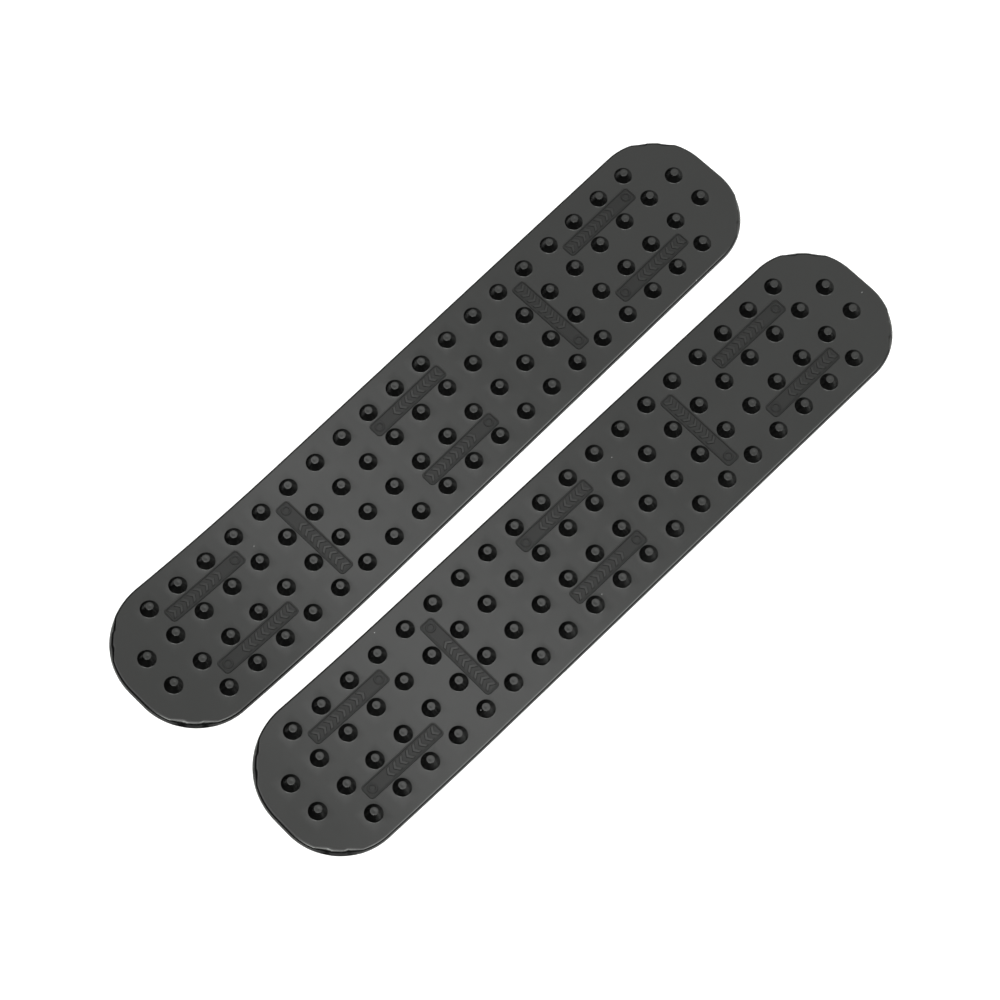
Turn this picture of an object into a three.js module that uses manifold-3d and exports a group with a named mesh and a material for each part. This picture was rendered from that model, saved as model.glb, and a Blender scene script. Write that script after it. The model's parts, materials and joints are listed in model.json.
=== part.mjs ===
// A pair of self-adhesive traction mats, lying side by side: millimetres, +Z up, +X along the mats.
// Each mat is a pad, which is one moulded elastomer sheet with round studs, with an adhesive film under
// it and a release liner under that. The liner is slit across at mid-length, so it comes off in halves.
// Each mat is flexible, and its left end curls up off the table.
// The origin is on the table, under the middle of the pair's bounding box.
import * as THREE from 'three';
import * as BufferGeometryUtils from 'three/addons/utils/BufferGeometryUtils.js';
import Module from 'manifold-3d';

const wasm = await Module();
wasm.setup();

// The stud pitch is the driving size. Everything in the plane of a pad is a number of pitches.
const PITCH = 12.7;
const COLUMNS = 19;
const ROWS = 4;
const PAD_LENGTH = 21.86 * PITCH;
const PAD_WIDTH = 4.4 * PITCH;
const CORNER_RADIUS = 1.8 * PITCH;
const CUT_BACK_RADIUS = 2.1 * PITCH;
const CORNER_SEGMENTS = 8;

// The radii of a pad's corners, anticlockwise from the one at +X and -Y. One corner is cut back further.
const CORNER_RADII = [CORNER_RADIUS, CORNER_RADIUS, CUT_BACK_RADIUS, CORNER_RADIUS];

// The layers of one mat, from the table up. The gap keeps touching layers from sharing any volume.
const LINER_THICKNESS = 0.25;
const ADHESIVE_THICKNESS = 0.25;
const SHEET_THICKNESS = 2.0;
const LAYER_GAP = 0.02;
const ADHESIVE_BOTTOM = LINER_THICKNESS + LAYER_GAP;
const SHEET_BOTTOM = ADHESIVE_BOTTOM + ADHESIVE_THICKNESS + LAYER_GAP;
const SHEET_TOP = SHEET_BOTTOM + SHEET_THICKNESS;

// A stud is a truncated cone, moulded in one with the sheet.
const STUD_BASE_RADIUS = 0.25 * PITCH;
const STUD_TOP_RADIUS = 0.108 * PITCH;
const STUD_HEIGHT = 0.205 * PITCH;
const STUD_SEGMENTS = 12;

// A badge is a plain low bar in the lane between two rows of studs.
const BADGE_LENGTH = 2.6 * PITCH;
const BADGE_WIDTH = 0.46 * PITCH;
const BADGE_RELIEF = 0.25;
const BADGE_CORNER_SEGMENTS = 3;

// Where the moulding's gates were trimmed off, the top edge has a short flat across each corner.
const GATE_FLAT_LENGTH = 1.1 * PITCH;

// What one solid reaches into another where the two are joined.
const ROOT = 0.5;

// The liner's slit, and how far the liner and the adhesive film stop short of the pad's edge.
const SLIT_WIDTH = 0.5;
const LINER_INSET = 0.4;
const FILM_INSET = 0.8;

// How the two mats lie: each one's middle is half of this from the pair's, and each is turned a little.
const PAIR_OFFSET_X = 0.41 * PITCH;
const PAIR_SPACING_Y = 5.11 * PITCH;
const YAW = THREE.MathUtils.degToRad(0.56);

// Where along each mat its left end starts to curl, and how high its tip then stands off the table.
const BACK_CURL = { start: -3.8 * PITCH, tipRise: 0.87 * PITCH };
const FRONT_CURL = { start: -5.1 * PITCH, tipRise: 0.55 * PITCH };
const CURL_FACETS = 6;

const rubber = () => new THREE.MeshStandardMaterial({ color: 0x232423, roughness: 0.4, metalness: 0 });
const adhesive = () => new THREE.MeshStandardMaterial({ color: 0xbfb8a4, roughness: 0.3, metalness: 0 });
const linerPaper = () => new THREE.MeshStandardMaterial({ color: 0xe8e6e0, roughness: 0.5, metalness: 0 });

// A rectangle between two x and of this width, with round corners. The radii go anticlockwise from the
// corner at +X and -Y, and a radius of 0 leaves a corner square.
function outline(xLow, xHigh, width, radii) {
  const shape = new THREE.Shape();
  [[xHigh, -1], [xHigh, 1], [xLow, 1], [xLow, -1]].forEach(([x, signY], index) => {
    const radius = radii[index];
    const centreX = index < 2 ? x - radius : x + radius;
    const centreY = signY * (width / 2 - radius);
    const start = (index - 1) * Math.PI / 2;
    if (radius > 0) {
      shape.absarc(centreX, centreY, radius, start, start + Math.PI / 2);
    } else if (index === 0) {
      shape.moveTo(centreX, centreY);
    } else {
      shape.lineTo(centreX, centreY);
    }
  });
  shape.closePath();
  return shape;
}

function slab(shape, bottom, thickness, curveSegments = CORNER_SEGMENTS) {
  const geometry = new THREE.ExtrudeGeometry(shape, { depth: thickness, bevelEnabled: false, curveSegments });
  return geometry.translate(0, 0, bottom);
}

function toSolid(geometry) {
  const bare = geometry.clone();
  bare.deleteAttribute('normal');
  bare.deleteAttribute('uv');
  const merged = BufferGeometryUtils.mergeVertices(bare);
  return new wasm.Manifold(new wasm.Mesh({
    numProp: 3,
    vertProperties: new Float32Array(merged.attributes.position.array),
    triVerts: new Uint32Array(merged.index.array),
  }));
}

function toGeometry(solid) {
  const mesh = solid.getMesh();
  const geometry = new THREE.BufferGeometry();
  geometry.setAttribute('position', new THREE.BufferAttribute(mesh.vertProperties, 3));
  geometry.setIndex(new THREE.BufferAttribute(mesh.triVerts, 1));
  geometry.computeVertexNormals();
  return geometry;
}

// The studs' places: a square grid, and two more past each end where the outline rounds in.
function studPlaces() {
  const places = [];
  for (let column = -1; column <= COLUMNS; column += 1) {
    const isExtra = column < 0 || column === COLUMNS;
    const rows = isExtra ? [1, 2] : Array.from({ length: ROWS }, (_, row) => row);
    const x = (column - (COLUMNS - 1) / 2) * PITCH;
    places.push(...rows.map((row) => [x, (row - (ROWS - 1) / 2) * PITCH]));
  }
  return places;
}

// A stud's cone is carried on below the sheet's top at the same slope, so that its base is exact there.
function stud(x, y) {
  const slope = (STUD_BASE_RADIUS - STUD_TOP_RADIUS) / STUD_HEIGHT;
  const height = STUD_HEIGHT + ROOT;
  const rootRadius = STUD_BASE_RADIUS + slope * ROOT;
  const geometry = new THREE.CylinderGeometry(STUD_TOP_RADIUS, rootRadius, height, STUD_SEGMENTS);
  geometry.rotateX(Math.PI / 2);
  geometry.translate(x, y, SHEET_TOP + STUD_HEIGHT - height / 2);
  return toSolid(geometry);
}

// Two badges lie side by side along the pad near each end and two at its middle, and two lie across it.
function badgePlaces() {
  const places = [];
  for (const x of [-7.5, 0, 7.5]) {
    places.push([x * PITCH, PITCH, 0], [x * PITCH, -PITCH, 0]);
  }
  for (const x of [-4.5, 4.5]) {
    places.push([x * PITCH, 0, Math.PI / 2]);
  }
  return places;
}

function badge(x, y, turn) {
  const radius = BADGE_WIDTH / 4;
  const shape = outline(-BADGE_LENGTH / 2, BADGE_LENGTH / 2, BADGE_WIDTH, [radius, radius, radius, radius]);
  const geometry = slab(shape, SHEET_TOP - ROOT, ROOT + BADGE_RELIEF, BADGE_CORNER_SEGMENTS);
  geometry.rotateZ(turn);
  geometry.translate(x, y, 0);
  return toSolid(geometry);
}

// A gate flat is cut by a slanted block that takes the sheet's top edge and leaves its bottom edge round.
function gateCut(signX, signY, radius) {
  const half = GATE_FLAT_LENGTH / 2;
  const sagitta = radius - Math.sqrt(radius ** 2 - half ** 2);
  const tilt = Math.atan2(sagitta, SHEET_THICKNESS);
  const size = 2 * PITCH;
  const block = new THREE.BoxGeometry(size, size, size);
  block.translate(size / 2, 0, 0);
  block.rotateY(-tilt);
  block.translate(radius - sagitta, 0, SHEET_TOP);
  block.rotateZ(Math.atan2(signY, signX));
  block.translate(signX * (PAD_LENGTH / 2 - radius), signY * (PAD_WIDTH / 2 - radius), 0);
  return toSolid(block);
}

// The part of a triangle that lies on one side (-1 or 1) of the plane at x, as triangles.
function partOnSide(triangle, x, side) {
  const corners = [];
  triangle.forEach((a, index) => {
    const b = triangle[(index + 1) % 3];
    if (side * (a.x - x) >= 0) {
      corners.push(a);
    }
    if ((a.x - x) * (b.x - x) < 0) {
      const [low, high] = a.x < b.x ? [a, b] : [b, a];
      corners.push(low.clone().lerp(high, (x - low.x) / (high.x - low.x)).setX(x));
    }
  });
  const fan = [];
  for (let index = 2; index < corners.length; index += 1) {
    fan.push([corners[0], corners[index - 1], corners[index]]);
  }
  return fan;
}

function splitAt(triangles, x) {
  return triangles.flatMap((triangle) => {
    const isCrossed = triangle.some((point) => point.x < x) && triangle.some((point) => point.x > x);
    return isCrossed ? [...partOnSide(triangle, x, -1), ...partOnSide(triangle, x, 1)] : [triangle];
  });
}

// The curl is a chain of flat facets along a parabola. Each knot says where a line across the flat mat
// goes to: the facets keep their length, so the tip draws in a little as it lifts.
function curlKnots(curl) {
  const step = (curl.start + PAD_LENGTH / 2) / CURL_FACETS;
  const knots = [{ flat: curl.start, x: curl.start, lift: 0 }];
  for (let index = 1; index <= CURL_FACETS; index += 1) {
    const last = knots[index - 1];
    const lift = curl.tipRise * (index / CURL_FACETS) ** 2;
    const x = last.x - Math.sqrt(step ** 2 - (lift - last.lift) ** 2);
    knots.push({ flat: curl.start - index * step, x, lift });
  }
  return knots;
}

function moveToCurl(point, knots) {
  if (point.x >= knots[0].flat) {
    return;
  }
  const found = knots.findIndex((knot) => knot.flat <= point.x);
  const index = found < 0 ? knots.length - 1 : found;
  const [from, to] = [knots[index - 1], knots[index]];
  const share = (from.flat - point.x) / (from.flat - to.flat);
  point.set(from.x + share * (to.x - from.x), point.y, point.z + from.lift + share * (to.lift - from.lift));
}

function curled(geometry, curl) {
  const knots = curlKnots(curl);
  const corners = geometry.index ? geometry.toNonIndexed() : geometry;
  const { array } = corners.attributes.position;
  let triangles = [];
  for (let start = 0; start < array.length; start += 9) {
    triangles.push([0, 3, 6].map((offset) => new THREE.Vector3().fromArray(array, start + offset)));
  }
  for (const knot of knots) {
    triangles = splitAt(triangles, knot.flat);
  }
  const points = triangles.flat().map((point) => point.clone());
  points.forEach((point) => moveToCurl(point, knots));
  const bent = new THREE.BufferGeometry().setFromPoints(points);
  bent.computeVertexNormals();
  return bent;
}

function padGeometry() {
  const half = PAD_LENGTH / 2;
  let solid = toSolid(slab(outline(-half, half, PAD_WIDTH, CORNER_RADII), SHEET_BOTTOM, SHEET_THICKNESS));
  [[1, -1], [1, 1], [-1, 1], [-1, -1]].forEach(([signX, signY], index) => {
    solid = solid.subtract(gateCut(signX, signY, CORNER_RADII[index]));
  });
  for (const place of badgePlaces()) {
    solid = solid.add(badge(...place));
  }
  for (const place of studPlaces()) {
    solid = solid.add(stud(...place));
  }
  return toGeometry(solid);
}

function adhesiveGeometry() {
  const half = PAD_LENGTH / 2 - FILM_INSET;
  const radii = CORNER_RADII.map((radius) => radius - FILM_INSET);
  return slab(outline(-half, half, PAD_WIDTH - 2 * FILM_INSET, radii), ADHESIVE_BOTTOM, ADHESIVE_THICKNESS);
}

// One half of the liner, on the side of the slit that side (-1 or 1) says.
function linerGeometry(side) {
  const half = PAD_LENGTH / 2 - LINER_INSET;
  const width = PAD_WIDTH - 2 * LINER_INSET;
  const [rightNear, rightFar, leftFar, leftNear] = CORNER_RADII.map((radius) => radius - LINER_INSET);
  const slit = SLIT_WIDTH / 2;
  const shape = side < 0
    ? outline(-half, -slit, width, [0, 0, leftFar, leftNear])
    : outline(slit, half, width, [rightNear, rightFar, 0, 0]);
  return slab(shape, 0, LINER_THICKNESS);
}

function named(name, geometry, material) {
  const mesh = new THREE.Mesh(geometry, material);
  mesh.name = name;
  return mesh;
}

// One mat, at the +Y place (side 1) or the -Y place (side -1).
function mat(label, side, curl) {
  const group = new THREE.Group();
  group.add(
    named(`pad_${label}`, curled(padGeometry(), curl), rubber()),
    named(`adhesive_${label}`, curled(adhesiveGeometry(), curl), adhesive()),
    named(`liner_${label}_left`, curled(linerGeometry(-1), curl), linerPaper()),
    named(`liner_${label}_right`, linerGeometry(1), linerPaper()),
  );
  group.position.set(-side * PAIR_OFFSET_X / 2, side * PAIR_SPACING_Y / 2, 0);
  group.rotation.z = side * YAW;
  return group;
}

const pair = new THREE.Group();
pair.add(mat('back', 1, BACK_CURL), mat('front', -1, FRONT_CURL));
const middle = new THREE.Box3().setFromObject(pair, true).getCenter(new THREE.Vector3());
pair.position.set(-middle.x, -middle.y, 0);

export default pair;
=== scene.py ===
"""The look of a pair of self-adhesive traction mats: studded rubber pads, adhesive films and paper liners.

Every piece is built in a flat mat's own coordinates (u along it, v across it, z up from the table), in
metres, then bent along the curl of the mat's left end and set down where the CAD model has it.
"""

import json
import math

import bmesh
import bpy
from mathutils import Matrix, Vector
from mathutils.geometry import delaunay_2d_cdt


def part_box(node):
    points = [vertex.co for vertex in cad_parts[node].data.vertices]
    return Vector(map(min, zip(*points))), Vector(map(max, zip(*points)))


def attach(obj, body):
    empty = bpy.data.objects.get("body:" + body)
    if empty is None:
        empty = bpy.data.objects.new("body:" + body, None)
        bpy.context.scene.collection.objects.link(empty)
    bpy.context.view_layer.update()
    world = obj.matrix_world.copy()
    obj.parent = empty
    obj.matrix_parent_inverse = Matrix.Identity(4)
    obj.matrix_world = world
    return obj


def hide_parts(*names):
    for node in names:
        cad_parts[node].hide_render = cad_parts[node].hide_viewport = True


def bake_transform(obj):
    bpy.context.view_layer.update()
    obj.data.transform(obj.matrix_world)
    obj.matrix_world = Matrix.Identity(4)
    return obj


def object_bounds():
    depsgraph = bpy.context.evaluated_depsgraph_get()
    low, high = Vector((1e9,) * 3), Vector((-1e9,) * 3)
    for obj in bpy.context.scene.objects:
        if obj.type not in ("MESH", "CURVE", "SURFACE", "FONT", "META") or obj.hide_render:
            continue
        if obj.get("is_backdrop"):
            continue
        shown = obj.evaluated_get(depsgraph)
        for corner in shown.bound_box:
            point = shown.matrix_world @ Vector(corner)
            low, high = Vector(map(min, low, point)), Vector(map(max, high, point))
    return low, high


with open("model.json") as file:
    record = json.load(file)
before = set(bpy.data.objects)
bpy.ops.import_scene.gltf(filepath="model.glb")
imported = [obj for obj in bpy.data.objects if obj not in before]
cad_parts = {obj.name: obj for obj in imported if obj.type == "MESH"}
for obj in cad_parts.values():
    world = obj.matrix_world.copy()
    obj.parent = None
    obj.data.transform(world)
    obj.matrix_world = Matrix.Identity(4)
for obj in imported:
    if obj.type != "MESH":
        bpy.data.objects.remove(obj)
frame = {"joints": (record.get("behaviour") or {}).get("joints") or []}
cad_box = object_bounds()

MM = 0.001
QUARTER = math.pi / 2

# The stud pitch is the driving size of a pad.
PITCH = 12.7 * MM
COLUMNS = 19
ROWS = 4
HALF_LENGTH = 10.93 * PITCH
HALF_WIDTH = 2.2 * PITCH
STUD_BASE_RADIUS = 0.25 * PITCH
STUD_TOP_RADIUS = 0.108 * PITCH
STUD_HEIGHT = 0.205 * PITCH
BADGE_LENGTH = 2.6 * PITCH
BADGE_WIDTH = 0.46 * PITCH
CURL_START = {"back": -3.8 * PITCH, "front": -5.1 * PITCH}

# A pad's corners, as (side along it, side across it): radius. One of them is cut back further.
CORNERS = {(1, -1): 1.8 * PITCH, (1, 1): 1.8 * PITCH, (-1, 1): 2.1 * PITCH, (-1, -1): 1.8 * PITCH}
GATE_FLAT_LENGTH = 1.25 * PITCH

# Sizes that don't follow the pitch.
SHEET_THICKNESS = 2.0 * MM
EDGE_RADIUS = 0.9 * MM
WALL_DRAFT = 0.12 * MM
FOOT_CHAMFER = 0.12 * MM
STUD_FILLET = 0.3 * MM
STUD_LIP = 0.16 * MM
DIMPLE_RADIUS = 0.5 * MM
DIMPLE_DEPTH = 0.05 * MM
BADGE_BEVEL = 0.16 * MM
BADGE_FRAME = 0.4 * MM
BADGE_RELIEF = 0.25 * MM
BADGE_FIELD = 0.08 * MM
BADGE_FOOT = 0.02 * MM
LINER_INSET = 0.4 * MM
FILM_INSET = 0.8 * MM
SLIT_WIDTH = 0.5 * MM

# What is left of the gate in the middle of its flat: how long it is along the rim, how long each of its
# ends takes to fade out, and how much of the flat's depth it fills.
GATE_STUB = 4.4 * MM
GATE_STUB_SIDE = 1.3 * MM
GATE_STUB_SHARE = 0.45

# The marks on a badge: a ring at its head and a row of chevrons from its tail.
RING_MARGIN = 1.1 * MM
RING_STROKE = 0.5 * MM
RING_STEPS = 20
CHEVRONS = 8
CHEVRON_SPACING = 2.85 * MM
CHEVRON_START = 1.6 * MM
CHEVRON_MARGIN = 1.05 * MM
CHEVRON_STROKE = 1.35 * MM
CHEVRON_SWEEP = 1.3 * MM

# How much of a badge's dull finish its parts have, from 0 for the sheet's own finish to 1.
BADGE_DULL = 1.0
CHEVRON_CREST_DULL = 0.35

# The badges' places along the mat: side by side near each end and at its middle, and across it.
BADGE_PAIRS_AT = 7.5 * PITCH
BADGE_ACROSS_AT = 4.5 * PITCH

# The sky's lights: azimuth, elevation, angle to where the light starts to fade, angle to its edge,
# radiance. Azimuth 0 is on the -Y side and 90 on the +X side, and all the angles are in degrees.
SKY_LIGHTS = (
    (120, 62, 14, 40, 1.35),
    (80, 22, 15, 45, 1.1),
    (-60, 62, 8, 24, 11.0),
    (20, 58, 8, 24, 8.0),
)

SKY_BASE = 0.01

# The camera: where it aims, from which azimuth and elevation, and from how far.
CAMERA_AIM = (-0.00612, -0.00215, 0.0)
CAMERA_PLACE = (-45.16, 69.72, 0.79865)
CAMERA_LENS = 85.0
CAMERA_SENSOR = 36.0

# How finely the meshes are drawn.
CORNER_STEPS = 96
LAYER_STEPS = 24
STUD_STEPS = 36
STUD_ARC_STEPS = 4
EDGE_STEPS = 7
BADGE_CORNER_STEPS = 5
GRID_STEP = 3.2 * MM
GRID_CLEARANCE = 0.8 * MM

# Edges that are sharper than this are drawn sharp.
SHARP_ANGLE = math.radians(32)

# A stud's hole in the sheet is looked for slightly inside its outline.
HOLE_SHARE = 0.995


class Mat:
    """Where one mat lies, how big it is and how its left end curls, all read from the frame."""

    def __init__(self, label):
        self.label = label
        hinge = next(j for j in frame["joints"] if j["name"] == f"{label}_pad_peel")
        across = Vector(hinge["axis"]).normalized()
        along = Vector((across.y, -across.x, 0))
        self.tip = Vector(hinge["pos_m"])
        middle = self.tip - along * HALF_LENGTH
        turn = math.atan2(along.y, along.x)
        self.matrix = Matrix.Translation((middle.x, middle.y, 0)) @ Matrix.Rotation(turn, 4, "Z")
        self.along = along
        self.find_layers()
        self.find_curl()

    def find_layers(self):
        """The heights of the layers, from the table up."""
        self.liner_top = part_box(f"liner_{self.label}_right")[1].z
        self.film_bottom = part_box(f"adhesive_{self.label}")[0].z
        self.sheet_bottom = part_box(f"pad_{self.label}")[0].z
        gap = self.film_bottom - self.liner_top
        self.film_top = self.sheet_bottom - gap
        self.sheet_top = self.sheet_bottom + SHEET_THICKNESS

    def find_curl(self):
        """The parabola of the curl: lift = rate * (distance past its start) squared."""
        self.curl_start = CURL_START[self.label]
        liner_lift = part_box(f"liner_{self.label}_left")[1].z - self.liner_top
        reach = HALF_LENGTH - LINER_INSET + self.curl_start
        self.curl_rate = liner_lift / reach**2

    def place(self, u, v, z):
        """A point of the flat mat, bent along the curl and set down in the row frame."""
        past = max(0.0, self.curl_start - u)
        lift = self.curl_rate * past**2
        slope = 2 * self.curl_rate * past
        drawn_in = slope**2 * past / 6
        lean = math.asin(min(slope, 1.0))
        bent = Vector((u + drawn_in + z * math.sin(lean), v, lift + z * math.cos(lean)))
        return self.matrix @ bent


class Shell:
    """A mesh being drawn in a flat mat's own coordinates."""

    def __init__(self):
        self.points = []
        self.faces = []
        self.badge = {}

    def add(self, u, v, z, badge=0.0):
        self.points.append((u, v, z))
        if badge:
            self.badge[len(self.points) - 1] = badge
        return len(self.points) - 1

    def loop(self, outline, z, badge=0.0):
        return [self.add(u, v, z, badge) for u, v in outline]

    def strip(self, first, second):
        """Quads between two closed loops of as many points."""
        count = len(first)
        for k in range(count):
            n = (k + 1) % count
            self.faces.append((first[k], first[n], second[n], second[k]))

    def cap(self, loop, z, badge=0.0):
        """A fan from a loop to a point at its middle."""
        count = len(loop)
        u = sum(self.points[k][0] for k in loop) / count
        v = sum(self.points[k][1] for k in loop) / count
        centre = self.add(u, v, z, badge)
        for k in range(count):
            self.faces.append((loop[k], loop[(k + 1) % count], centre))

    def fill(self, loops, free=(), is_hole=lambda u, v: False):
        """Triangles between loops and free points, in the plane, leaving out the ones in holes."""
        indices = [k for loop in loops for k in loop] + list(free)
        places = [Vector(self.points[k][:2]) for k in indices]
        edges, start = [], 0
        for loop in loops:
            count = len(loop)
            edges += [(start + k, start + (k + 1) % count) for k in range(count)]
            start += count
        _, _, faces, origins, _, _ = delaunay_2d_cdt(places, edges, [], 1, 1e-8)
        for face in faces:
            corners = [indices[origins[k][0]] for k in face]
            u = sum(self.points[k][0] for k in corners) / 3
            v = sum(self.points[k][1] for k in corners) / 3
            if not is_hole(u, v):
                self.faces.append(tuple(corners))

    def to_object(self, name, mat, material):
        mesh = bpy.data.meshes.new(name)
        places = [mat.place(*point) for point in self.points]
        mesh.from_pydata([tuple(p) for p in places], [], self.faces)
        work = bmesh.new()
        work.from_mesh(mesh)
        bmesh.ops.recalc_face_normals(work, faces=work.faces)
        for edge in work.edges:
            edge.smooth = edge.calc_face_angle(0.0) < SHARP_ANGLE
        for face in work.faces:
            face.smooth = True
        work.to_mesh(mesh)
        work.free()
        flags = mesh.attributes.new("badge", "FLOAT", "POINT")
        for index, value in self.badge.items():
            flags.data[index].value = value
        mesh.materials.append(material)
        piece = bpy.data.objects.new(name, mesh)
        bpy.context.scene.collection.objects.link(piece)
        return piece


# Outlines


def between(first, second, step):
    """The points strictly between two, evenly spaced and no further apart than step."""
    count = max(1, math.ceil((second - first).length / step))
    return [first.lerp(second, k / count) for k in range(1, count)]


def arc(centre, radius, start, steps, span=QUARTER):
    turns = [start + span * k / steps for k in range(steps + 1)]
    return [centre + radius * Vector((math.cos(t), math.sin(t))) for t in turns]


def circle(u, v, radius, steps):
    turns = [2 * math.pi * k / steps for k in range(steps)]
    return [(u + radius * math.cos(t), v + radius * math.sin(t)) for t in turns]


def closed_path(runs, step):
    """Joins runs of points into one loop, with points added along the straight gaps between them."""
    path = []
    for run, following in zip(runs, runs[1:] + runs[:1]):
        path += run + between(run[-1], following[0], step)
    return path


def rectangle(low, high, half_width, radii, steps):
    """A rectangle between two u with round corners, anticlockwise. A radius of 0 is a square corner."""
    runs = []
    for (side_u, side_v), start in zip(CORNERS, (-QUARTER, 0, QUARTER, 2 * QUARTER)):
        u = high if side_u > 0 else low
        radius = radii[side_u, side_v]
        if radius == 0:
            runs.append([Vector((u, side_v * half_width))])
            continue
        centre = Vector((u - side_u * radius, side_v * (half_width - radius)))
        runs.append(arc(centre, radius, start, steps))
    return [tuple(p) for p in closed_path(runs, GRID_STEP)]


def pad_outline(inset, steps, low=-HALF_LENGTH, high=HALF_LENGTH):
    """The pad's outline drawn in by inset, or the part of it between two u, which is cut off square."""
    radii = {}
    for (side_u, side_v), radius in CORNERS.items():
        is_cut = (low > -HALF_LENGTH) if side_u < 0 else (high < HALF_LENGTH)
        radii[side_u, side_v] = 0 if is_cut else radius - inset
    low = max(low, inset - HALF_LENGTH)
    high = min(high, HALF_LENGTH - inset)
    return rectangle(low, high, HALF_WIDTH - inset, radii, steps)


def from_corner(u, v):
    """The radius of the corner this place is at, and where the place is from the middle of its arc."""
    radius = CORNERS[(1 if u > 0 else -1), (1 if v > 0 else -1)]
    return radius, Vector((abs(u) - HALF_LENGTH + radius, abs(v) - HALF_WIDTH + radius))


def is_inside(u, v, inset):
    """Whether a place is inside the pad's outline by at least this much."""
    radius, offset = from_corner(u, v)
    past = Vector((max(0.0, offset.x), max(0.0, offset.y)))
    return past.length < radius - inset


# The pad


def gate_depth(radius, offset):
    """How far a trimmed gate takes the top edge in from the outline at this place on a corner's arc.

    The flat is a chord across the middle of the arc, with a stub of the gate left at its own middle.
    """
    if offset.x <= 0 or offset.y <= 0:
        return 0.0
    off_middle = math.atan2(offset.y, offset.x) - QUARTER / 2
    chord = math.sqrt(radius**2 - (GATE_FLAT_LENGTH / 2) ** 2)
    depth = max(0.0, radius - chord / math.cos(off_middle))
    past_stub = (abs(off_middle) * radius - GATE_STUB / 2) / GATE_STUB_SIDE
    stub = GATE_STUB_SHARE * (1 - min(1.0, max(0.0, past_stub)))
    return depth * (1 - stub)


def rim_profile():
    """The sheet's edge in section, from the flat top to the foot, as (inset, height above the foot)."""
    profile = [(WALL_DRAFT + EDGE_RADIUS + FOOT_CHAMFER, SHEET_THICKNESS)]
    for k in range(EDGE_STEPS + 1):
        turn = QUARTER * k / EDGE_STEPS
        inset = WALL_DRAFT + EDGE_RADIUS * (1 - math.sin(turn))
        profile.append((inset, SHEET_THICKNESS - EDGE_RADIUS * (1 - math.cos(turn))))
    profile.append((0.0, FOOT_CHAMFER))
    profile.append((FOOT_CHAMFER, 0.0))
    return profile


def draw_rim(shell, mat):
    """The sheet's edge all round. Returns its first loop, on the top, and its last, on the underside."""
    loops = []
    for inset, height in rim_profile():
        loop = []
        for u, v in pad_outline(inset, CORNER_STEPS):
            radius, offset = from_corner(u, v)
            cut = gate_depth(radius, offset) * height / SHEET_THICKNESS
            inward = -offset.normalized() * cut
            moved_u = u + math.copysign(1, u) * inward.x
            moved_v = v + math.copysign(1, v) * inward.y
            loop.append(shell.add(moved_u, moved_v, mat.sheet_bottom + height))
        loops.append(loop)
    for first, second in zip(loops, loops[1:]):
        shell.strip(first, second)
    return loops[0], loops[-1]


def stud_places():
    places = []
    for column in range(-1, COLUMNS + 1):
        rows = range(ROWS) if 0 <= column < COLUMNS else (1, 2)
        for row in rows:
            u = (column - (COLUMNS - 1) / 2) * PITCH
            v = (row - (ROWS - 1) / 2) * PITCH
            places.append((u, v))
    return places


def stud_profile():
    """A stud in section, from the sheet to the edge of its dimple, as (radius, height)."""
    slope = math.atan2(STUD_HEIGHT, STUD_BASE_RADIUS - STUD_TOP_RADIUS)
    fillet_reach = STUD_FILLET * math.tan(slope / 2)
    lip_reach = STUD_LIP * math.tan(slope / 2)
    profile = []
    for k in range(STUD_ARC_STEPS + 1):
        turn = slope * k / STUD_ARC_STEPS
        radius = STUD_BASE_RADIUS + fillet_reach - STUD_FILLET * math.sin(turn)
        profile.append((radius, STUD_FILLET * (1 - math.cos(turn))))
    for k in range(STUD_ARC_STEPS + 1):
        turn = slope * (1 - k / STUD_ARC_STEPS)
        radius = STUD_TOP_RADIUS - lip_reach + STUD_LIP * math.sin(turn)
        profile.append((radius, STUD_HEIGHT - STUD_LIP * (1 - math.cos(turn))))
    return profile


def draw_stud(shell, mat, u, v):
    """One stud. Returns the loop where it meets the sheet."""
    profile = stud_profile()
    # The dimple in section, as (share of its radius, share of its depth).
    dimple = [(1.0, 0.0), (0.8, 0.45), (0.5, 0.9)]
    profile += [(DIMPLE_RADIUS * share, STUD_HEIGHT - DIMPLE_DEPTH * deep) for share, deep in dimple]
    loops = []
    for radius, rise in profile:
        loops.append(shell.loop(circle(u, v, radius, STUD_STEPS), mat.sheet_top + rise))
    for first, second in zip(loops, loops[1:]):
        shell.strip(first, second)
    shell.cap(loops[-1], mat.sheet_top + STUD_HEIGHT - DIMPLE_DEPTH)
    return loops[0]


def badge_places():
    """The badges' middles and which way each one's head points."""
    places = []
    for u, flip in ((-BADGE_PAIRS_AT, 0), (0, 1), (BADGE_PAIRS_AT, 0)):
        places.append((u, PITCH, flip * math.pi))
        places.append((u, -PITCH, (1 - flip) * math.pi))
    places.append((-BADGE_ACROSS_AT, 0.0, QUARTER))
    places.append((BADGE_ACROSS_AT, 0.0, -QUARTER))
    return places


def chevron(at, half_height, stroke, sweep, inset=0.0):
    """An arrow-head stroke that points along u, drawn in by inset on every side."""
    side = inset * math.hypot(1, sweep / half_height)
    end = half_height - inset
    start = sweep * inset / half_height
    left, right = at - stroke / 2 + side, at + stroke / 2 - side
    return [
        (left + start, -end),
        (right + start, -end),
        (right + sweep, 0.0),
        (right + start, end),
        (left + start, end),
        (left + sweep, 0.0),
    ]


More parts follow.
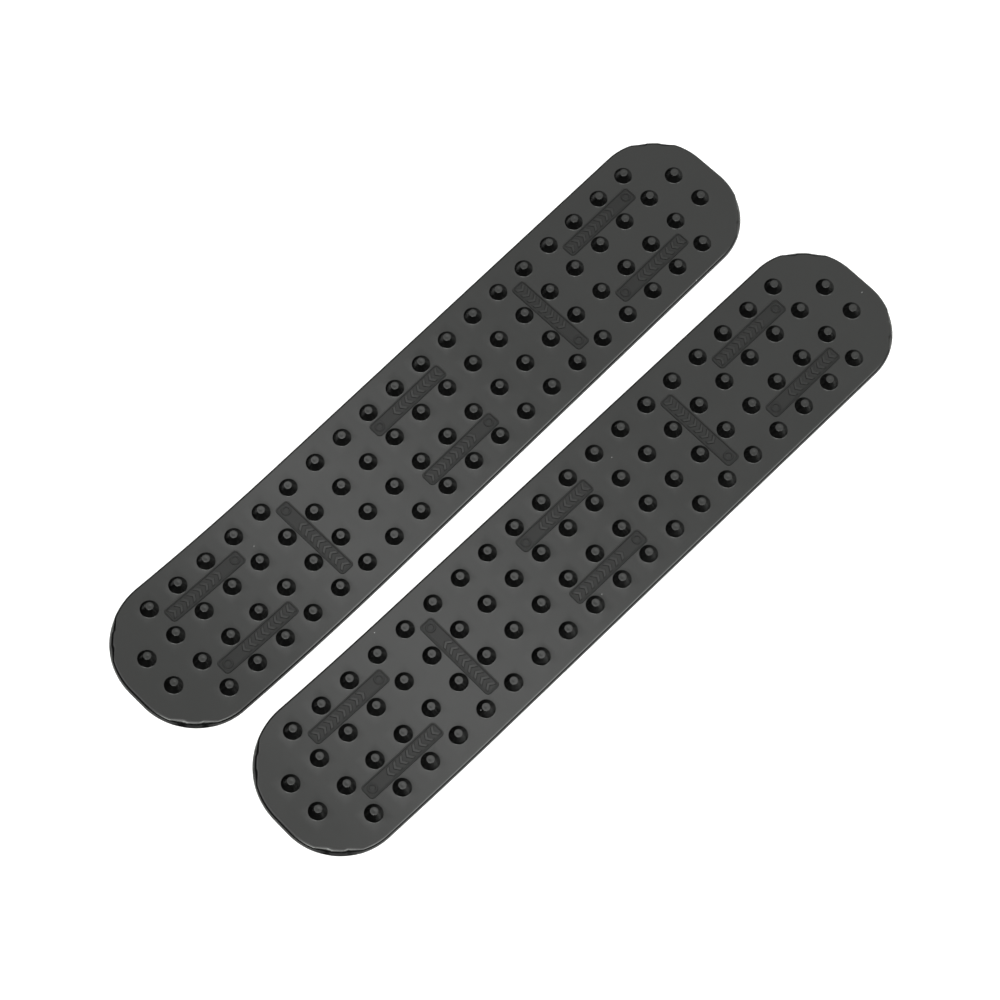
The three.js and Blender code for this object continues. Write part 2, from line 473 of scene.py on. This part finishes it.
def draw_badge(shell, mat, u, v, turn):
    """A plain badge: a raised frame round a low field, with a ring at its head and a row of chevrons."""
    half_length = BADGE_LENGTH / 2
    half_width = BADGE_WIDTH / 2
    field = mat.sheet_top + BADGE_FIELD
    crest = mat.sheet_top + BADGE_RELIEF

    def loop(outline, z, dull=BADGE_DULL):
        c, s = math.cos(turn), math.sin(turn)
        turned = [(u + a * c - b * s, v + a * s + b * c) for a, b in outline]
        return shell.loop(turned, z, dull)

    def bar(inset, z, dull=BADGE_DULL):
        radii = dict.fromkeys(CORNERS, half_width / 2 - inset)
        low, high = inset - half_length, half_length - inset
        return loop(rectangle(low, high, half_width - inset, radii, BADGE_CORNER_STEPS), z, dull)

    inner = BADGE_BEVEL + BADGE_FRAME
    loops = [bar(0.0, mat.sheet_top, 0.0), bar(BADGE_FOOT, mat.sheet_top), bar(BADGE_BEVEL, crest)]
    loops += [bar(inner, crest), bar(inner + BADGE_BEVEL, field)]
    ring_at = half_length - half_width
    ring_radius = half_width - RING_MARGIN
    ring = ((0, field), (BADGE_BEVEL, crest), (RING_STROKE + BADGE_BEVEL, crest))
    for inset, z in ring:
        loops.append(loop(circle(ring_at, 0, ring_radius - inset, RING_STEPS), z))
    ring_hole = circle(ring_at, 0, ring_radius - RING_STROKE - 2 * BADGE_BEVEL, RING_STEPS)
    loops.append(loop(ring_hole, field))
    for k in range(CHEVRONS):
        at = CHEVRON_START - half_length + k * CHEVRON_SPACING
        for inset, z, dull in ((0, field, BADGE_DULL), (BADGE_BEVEL, crest, CHEVRON_CREST_DULL)):
            outline = chevron(at, half_width - CHEVRON_MARGIN, CHEVRON_STROKE, CHEVRON_SWEEP, inset)
            loops.append(loop(outline, z, dull))
    return loops


def grid_points(shell, z, is_free):
    """Points on a square grid over the flat mat, so that it can bend smoothly."""
    found = []
    columns = round(2 * HALF_LENGTH / GRID_STEP)
    rows = round(2 * HALF_WIDTH / GRID_STEP)
    for column in range(1, columns):
        for row in range(1, rows):
            u = -HALF_LENGTH + column * 2 * HALF_LENGTH / columns
            v = -HALF_WIDTH + row * 2 * HALF_WIDTH / rows
            if is_free(u, v):
                found.append(shell.add(u, v, z))
    return found


def is_near_stud(u, v, reach):
    return any(math.hypot(u - a, v - b) < reach for a, b in stud_places())


def is_near_badge(u, v, margin):
    for a, b, turn in badge_places():
        offset = Vector((u - a, v - b))
        offset.rotate(Matrix.Rotation(-turn, 2))
        if abs(offset.x) < BADGE_LENGTH / 2 + margin and abs(offset.y) < BADGE_WIDTH / 2 + margin:
            return True
    return False


def pad(mat, material):
    shell = Shell()
    top_loop, bottom_loop = draw_rim(shell, mat)
    stud_reach = stud_profile()[0][0]
    loops = [top_loop] + [draw_stud(shell, mat, u, v) for u, v in stud_places()]
    for u, v, turn in badge_places():
        loops += draw_badge(shell, mat, u, v, turn)

    def is_free(u, v):
        is_taken = is_near_stud(u, v, stud_reach + GRID_CLEARANCE) or is_near_badge(u, v, GRID_CLEARANCE)
        return is_inside(u, v, EDGE_RADIUS + 2 * GRID_CLEARANCE) and not is_taken

    free = grid_points(shell, mat.sheet_top, is_free)
    shell.fill(loops, free, lambda u, v: is_near_stud(u, v, stud_reach * HOLE_SHARE))
    under = grid_points(shell, mat.sheet_bottom, lambda u, v: is_inside(u, v, 2 * GRID_CLEARANCE))
    shell.fill([bottom_loop], under)
    return shell.to_object(f"studded_pad_{mat.label}", mat, material)


# The adhesive film and the liner


def layer(name, mat, outline, bottom, top, material):
    """A thin layer with the given outline."""
    shell = Shell()
    loops = [shell.loop(outline, bottom), shell.loop(outline, top)]
    shell.strip(*loops)
    low = min(u for u, v in outline) + GRID_CLEARANCE
    high = max(u for u, v in outline) - GRID_CLEARANCE

    def is_free(u, v):
        return low < u < high and is_inside(u, v, FILM_INSET + GRID_CLEARANCE)

    for loop, z in zip(loops, (bottom, top)):
        shell.fill([loop], grid_points(shell, z, is_free))
    return shell.to_object(name, mat, material)


def film(mat, material):
    outline = pad_outline(FILM_INSET, LAYER_STEPS)
    return layer(f"adhesive_film_{mat.label}", mat, outline, mat.film_bottom, mat.film_top, material)


def liner_half(mat, side, material):
    slit = SLIT_WIDTH / 2
    cut = {"high": -slit} if side == "left" else {"low": slit}
    outline = pad_outline(LINER_INSET, LAYER_STEPS, **cut)
    return layer(f"release_liner_{mat.label}_{side}", mat, outline, 0.0, mat.liner_top, material)


# Materials


class Nodes:
    """A node tree, with short ways to add and join nodes."""

    def __init__(self, tree, coordinate="Object"):
        self.tree = tree
        self.place = self.add("ShaderNodeTexCoord").outputs[coordinate]

    def add(self, kind, **values):
        node = self.tree.nodes.new(kind)
        for key, value in values.items():
            setattr(node, key, value)
        return node

    def put(self, socket, value):
        if isinstance(value, bpy.types.NodeSocket):
            self.tree.links.new(value, socket)
        else:
            socket.default_value = value

    def noise(self, scale, detail=2.0, roughness=0.5):
        node = self.add("ShaderNodeTexNoise")
        self.put(node.inputs["Vector"], self.place)
        self.put(node.inputs["Scale"], scale)
        self.put(node.inputs["Detail"], detail)
        self.put(node.inputs["Roughness"], roughness)
        return node.outputs["Fac"]

    def remap(self, value, low, high, out_low, out_high):
        node = self.add("ShaderNodeMapRange")
        for name, given in (
            ("Value", value),
            ("From Min", low),
            ("From Max", high),
            ("To Min", out_low),
            ("To Max", out_high),
        ):
            self.put(node.inputs[name], given)
        return node.outputs["Result"]

    def math(self, operation, a, b):
        node = self.add("ShaderNodeMath", operation=operation)
        self.put(node.inputs[0], a)
        self.put(node.inputs[1], b)
        return node.outputs["Value"]

    def mix(self, share, first, second):
        node = self.add("ShaderNodeMix", data_type="RGBA")
        self.put(node.inputs["Factor"], share)
        self.put(node.inputs["A"], first)
        self.put(node.inputs["B"], second)
        return node.outputs["Result"]

    def bump(self, height, distance, below=None):
        node = self.add("ShaderNodeBump")
        self.put(node.inputs["Height"], height)
        self.put(node.inputs["Distance"], distance)
        if below is not None:
            self.put(node.inputs["Normal"], below)
        return node.outputs["Normal"]

    def attribute(self, name):
        return self.add("ShaderNodeAttribute", attribute_name=name).outputs["Fac"]


class Surface(Nodes):
    """A new material's nodes."""

    def __init__(self, name):
        self.material = bpy.data.materials.new(name)
        self.material.use_nodes = True
        super().__init__(self.material.node_tree)
        self.shader = self.tree.nodes["Principled BSDF"].inputs

    def finish(self, colour, roughness, normal):
        self.put(self.shader["Base Color"], colour)
        self.put(self.shader["Roughness"], roughness)
        self.put(self.shader["Normal"], normal)
        return self.material


def grey(value, tint=(1.0, 1.0, 1.0)):
    return (value * tint[0], value * tint[1], value * tint[2], 1.0)


def dust(nodes):
    """A mask of sparse pale specks: the middles of a few cells of a coarse pattern."""
    cells_per_metre = 160.0
    speck_radius_in_cells = 0.022
    rarity = 0.92
    cells = nodes.add("ShaderNodeTexVoronoi", voronoi_dimensions="2D")
    nodes.put(cells.inputs["Vector"], nodes.place)
    nodes.put(cells.inputs["Scale"], cells_per_metre)
    near = nodes.math("LESS_THAN", cells.outputs["Distance"], speck_radius_in_cells)
    chosen = nodes.math("GREATER_THAN", cells.outputs["Color"], rarity)
    return nodes.math("MULTIPLY", near, chosen)


def rubber():
    """Satin black moulded elastomer: a fine skin grain, a slow mottle in its sheen, a little dust.

    Its own colour is close to none. Nearly all the tone of the sheet is reflected light.
    """
    nodes = Surface("moulded_rubber")
    mottle = nodes.noise(45.0, 3.0)
    grain = nodes.noise(3200.0, 2.0)
    badge = nodes.attribute("badge")
    tone = nodes.mix(mottle, grey(0.001), grey(0.002))
    colour = nodes.mix(dust(nodes), tone, grey(0.25))
    satin = nodes.remap(mottle, 0.3, 0.7, 0.22, 0.27)
    roughness = nodes.math("ADD", satin, nodes.math("MULTIPLY", badge, 0.12))
    nodes.put(nodes.shader["Specular IOR Level"], nodes.remap(badge, 0.0, 1.0, 0.5, 0.33))
    ripple = nodes.bump(nodes.noise(90.0, 1.0), 0.05 * MM)
    normal = nodes.bump(grain, 0.006 * MM, ripple)
    return nodes.finish(colour, roughness, normal)


def adhesive():
    """Tacky, cloudy film with small trapped bubbles."""
    nodes = Surface("adhesive_film")
    cloud = nodes.noise(140.0, 4.0)
    colour = nodes.mix(cloud, grey(0.55, (1.0, 0.92, 0.72)), grey(0.42, (1.0, 0.9, 0.68)))
    bubbles = nodes.add("ShaderNodeTexVoronoi", feature="F1")
    nodes.put(bubbles.inputs["Vector"], nodes.place)
    nodes.put(bubbles.inputs["Scale"], 700.0)
    dents = nodes.remap(bubbles.outputs["Distance"], 0.0, 0.35, 0.0, 1.0)
    roughness = nodes.remap(cloud, 0.3, 0.7, 0.16, 0.3)
    nodes.put(nodes.shader["Coat Weight"], 0.3)
    return nodes.finish(colour, roughness, nodes.bump(dents, 0.02 * MM))


def liner_paper():
    """Off-white release paper: faint fibres under a smooth silicone face."""
    nodes = Surface("release_paper")
    stretched = nodes.add("ShaderNodeMapping")
    nodes.put(stretched.inputs["Vector"], nodes.place)
    stretched.inputs["Scale"].default_value = (1.0, 5.0, 1.0)
    fibres = nodes.add("ShaderNodeTexNoise")
    nodes.put(fibres.inputs["Vector"], stretched.outputs["Vector"])
    nodes.put(fibres.inputs["Scale"], 500.0)
    nodes.put(fibres.inputs["Detail"], 4.0)
    fibre = fibres.outputs["Fac"]
    colour = nodes.mix(fibre, grey(0.56, (1.0, 0.98, 0.9)), grey(0.48, (1.0, 0.975, 0.88)))
    roughness = nodes.remap(fibre, 0.3, 0.7, 0.34, 0.5)
    return nodes.finish(colour, roughness, nodes.bump(fibre, 0.01 * MM))


# The studio


def on_sphere(azimuth, elevation, distance):
    a, e = math.radians(azimuth), math.radians(elevation)
    return distance * Vector((math.sin(a) * math.cos(e), -math.cos(a) * math.cos(e), math.sin(e)))


def floor():
    """A plain, pale floor with a little light of its own, so that the shadows on it stay faint."""
    nodes = Surface("floor")
    glow_seen, glow_mirrored = 0.85, 0.12
    is_mirrored = nodes.add("ShaderNodeLightPath").outputs["Is Glossy Ray"]
    nodes.put(nodes.shader["Emission Color"], grey(1.0))
    # Reflections show less of this light than the camera does, so that the rubber stays dark.
    glow = nodes.remap(is_mirrored, 0.0, 1.0, glow_seen, glow_mirrored)
    nodes.put(nodes.shader["Emission Strength"], glow)
    tone = nodes.mix(nodes.noise(3.0), grey(0.34), grey(0.36))
    material = nodes.finish(tone, 0.9, nodes.bump(nodes.noise(400.0), 0.001 * MM))
    mesh = bpy.data.meshes.new("floor")
    reach = 3.0
    corners = [(-reach, -reach, 0), (reach, -reach, 0), (reach, reach, 0), (-reach, reach, 0)]
    mesh.from_pydata(corners, [], [(0, 1, 2, 3)])
    mesh.materials.append(material)
    plane = bpy.data.objects.new("floor", mesh)
    bpy.context.scene.collection.objects.link(plane)
    plane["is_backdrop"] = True


def soft_light(nodes, azimuth, elevation, core, edge, radiance):
    """The radiance of a round light with a soft edge, far off in the sky.

    Core and edge are angles from its middle: where it starts to fade, and where it is dark.
    """
    towards = nodes.add("ShaderNodeVectorMath", operation="DOT_PRODUCT")
    nodes.put(towards.inputs[0], nodes.place)
    nodes.put(towards.inputs[1], on_sphere(azimuth, elevation, 1.0))
    angle = nodes.math("ARCCOSINE", nodes.math("MINIMUM", towards.outputs["Value"], 1.0), 0.0)
    light = nodes.add("ShaderNodeMapRange", interpolation_type="SMOOTHSTEP")
    for name, value in (
        ("Value", angle),
        ("From Min", math.radians(core)),
        ("From Max", math.radians(edge)),
        ("To Min", radiance),
        ("To Max", 0.0),
    ):
        nodes.put(light.inputs[name], value)
    return light.outputs["Result"]


def sky():
    """Two broad, dim lights on the right and two small, strong ones on the camera's side, for the rims.

    The rest of the sky is nearly dark, but the camera sees it as plain white.
    """
    world = bpy.data.worlds.new("studio")
    world.use_nodes = True
    bpy.context.scene.world = world
    nodes = Nodes(world.node_tree, "Generated")
    light = SKY_BASE
    for azimuth, elevation, core, edge, radiance in SKY_LIGHTS:
        light = nodes.math("ADD", soft_light(nodes, azimuth, elevation, core, edge, radiance), light)
    is_seen = nodes.add("ShaderNodeLightPath").outputs["Is Camera Ray"]
    background = world.node_tree.nodes["Background"]
    nodes.put(background.inputs["Color"], nodes.mix(is_seen, grey(1.0, (0.98, 1.0, 0.965)), grey(1.0)))
    nodes.put(background.inputs["Strength"], nodes.math("MAXIMUM", light, is_seen))


def key_light():
    """A softbox close above the left half of the pair, so that the right half is a little darker."""
    radiance = 1.4
    width, depth = 0.66, 1.0
    above_left_half = (-0.08, 0.3, 1.0)
    light = bpy.data.lights.new("key_light", "AREA")
    light.shape = "RECTANGLE"
    light.size = width
    light.size_y = depth
    light.energy = radiance * math.pi * light.size * light.size_y
    lamp = bpy.data.objects.new("key_light", light)
    lamp.location = above_left_half
    bpy.context.scene.collection.objects.link(lamp)


def studio():
    sky()
    key_light()
    floor()
    view = bpy.context.scene.view_settings
    view.view_transform = "Standard"
    view.look = "None"


def camera():
    """The camera stands at the left front corner of the pair and looks steeply down."""
    aim = Vector(CAMERA_AIM)
    data = bpy.data.cameras.new("camera")
    data.lens = CAMERA_LENS
    data.sensor_width = CAMERA_SENSOR
    eye = bpy.data.objects.new("camera", data)
    eye.location = aim + on_sphere(*CAMERA_PLACE)
    eye.rotation_euler = (aim - eye.location).to_track_quat("-Z", "Y").to_euler()
    bpy.context.scene.collection.objects.link(eye)
    bpy.context.scene.camera = eye


# The pair


def dress(mat, black, tacky, paper):
    """Builds one mat's pieces with their materials, hides the CAD parts they stand in for, and hangs the
    liner halves on the liner's body.
    """
    liner_body = f"{mat.label}_liner"
    for piece, node, slot in (
        (pad(mat, black), f"pad_{mat.label}", "rubber"),
        (film(mat, tacky), f"adhesive_{mat.label}", "adhesive"),
    ):
        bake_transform(piece)
        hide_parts(node)
    for side in ("left", "right"):
        piece = liner_half(mat, side, paper)
        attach(piece, liner_body)
        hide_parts(f"liner_{mat.label}_{side}")


black, tacky, paper = rubber(), adhesive(), liner_paper()
for label in ("back", "front"):
    dress(Mat(label), black, tacky, paper)
studio()
camera()

visual_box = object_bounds()
boxes = {"cad": cad_box, "visual": visual_box}
{name: [list(corner) for corner in box] for name, box in boxes.items()}
